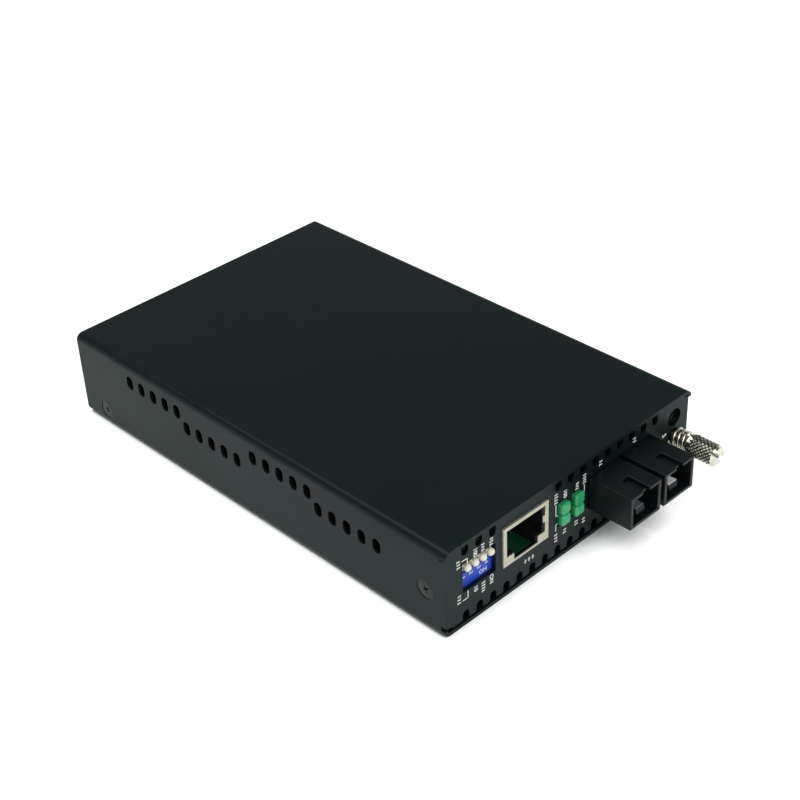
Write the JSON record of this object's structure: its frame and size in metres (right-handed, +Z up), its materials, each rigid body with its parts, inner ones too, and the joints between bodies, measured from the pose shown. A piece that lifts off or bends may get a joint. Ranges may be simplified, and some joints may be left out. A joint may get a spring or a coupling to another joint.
{
  "type": "fibre media converter",
  "caption": "Flat steel box that links a twisted-pair network jack to a duplex fibre port, with tilting mode switches, signal lamps, a sprung captive screw and a rear power inlet.",
  "frame": {"origin": "middle of the underside of the case", "axes": "+X to the right as the front is read, +Y from front to rear, +Z up; the ports face -Y"},
  "size_m": [0.088, 0.151, 0.0248],
  "materials": {
    "case_paint": "satin dark grey powder coat",
    "black_screw": "satin black",
    "board_green": "solder mask",
    "zinc_steel": "zinc plated",
    "jack_metal": "nickel plated",
    "jack_plastic": "moulded",
    "contact_gold": "gold plated",
    "switch_blue": "moulded",
    "lever_cream": "moulded",
    "pin_metal": "tinned",
    "black_plastic": "moulded",
    "port_black": "moulded",
    "latch_grey": "moulded",
    "latch_white": "moulded",
    "sleeve_metal": "polished",
    "screw_nickel": "nickel plated",
    "spring_steel": "nickel plated",
    "chip_black": "moulded epoxy",
    "capacitor_sleeve": "shrink sleeve",
    "lamp_green": "tinted translucent"
  },
  "bodies": {
    "case": {"case_sleeve": "case_paint", "chassis_tray": "case_paint", "case_screws": "black_screw", "circuit_board": "board_green", "board_standoffs": "zinc_steel", "board_screws": "zinc_steel", "jack_shield": "jack_metal", "jack_housing": "jack_plastic", "jack_contacts": "contact_gold", "switch_body": "switch_blue", "switch_pivot": "pin_metal", "switch_pins": "pin_metal", "lamp_holder": "black_plastic", "lamp_leads": "pin_metal", "transceiver_housing": "port_black", "port_latch_left": "latch_grey", "port_latch_right": "latch_white", "port_sleeve_left": "sleeve_metal", "port_sleeve_right": "sleeve_metal", "transceiver_pins": "pin_metal", "inlet_housing": "black_plastic", "inlet_pin": "pin_metal", "inlet_contact": "pin_metal", "screw_block": "zinc_steel", "thumbscrew_spring": "spring_steel", "main_chip": "chip_black", "line_transformer": "black_plastic", "voltage_regulator": "chip_black", "power_inductor": "chip_black", "bulk_capacitors": "capacitor_sleeve", "clock_crystal": "jack_metal", "lamp_left_lower": "lamp_green", "lamp_left_upper": "lamp_green", "lamp_right_lower": "lamp_green", "lamp_right_upper": "lamp_green"},
    "lever_1": {"switch_lever_1": "lever_cream"},
    "lever_2": {"switch_lever_2": "lever_cream"},
    "lever_3": {"switch_lever_3": "lever_cream"},
    "lever_4": {"switch_lever_4": "lever_cream"},
    "screw_carrier": {"retaining_clip": "spring_steel"},
    "captive_screw": {"thumbscrew": "screw_nickel"}
  },
  "joints": [
    {"name": "lever_1_tilt", "type": "hinge", "parent": "case", "child": "lever_1", "pos_m": [-0.03616, -0.06275, 0.0147], "axis": [1, 0, 0], "range_deg": [0, 15]},
    {"name": "lever_2_tilt", "type": "hinge", "parent": "case", "child": "lever_2", "pos_m": [-0.03362, -0.06275, 0.0147], "axis": [1, 0, 0], "range_deg": [0, 15]},
    {"name": "lever_3_tilt", "type": "hinge", "parent": "case", "child": "lever_3", "pos_m": [-0.03108, -0.06275, 0.0147], "axis": [1, 0, 0], "range_deg": [0, 15]},
    {"name": "lever_4_tilt", "type": "hinge", "parent": "case", "child": "lever_4", "pos_m": [-0.02854, -0.06275, 0.0147], "axis": [1, 0, 0], "range_deg": [0, 15]},
    {"name": "screw_push", "type": "slide", "parent": "case", "child": "screw_carrier", "axis": [0, 1, 0], "range_m": [0, 0.0025], "stiffness_N_per_m": 400, "springref_m": -0.001, "deforming": ["thumbscrew_spring"]},
    {"name": "screw_turn", "type": "hinge", "parent": "screw_carrier", "child": "captive_screw", "pos_m": [0.0385, -0.077, 0.0132], "axis": [0, 1, 0], "continuous": true}
  ]
}
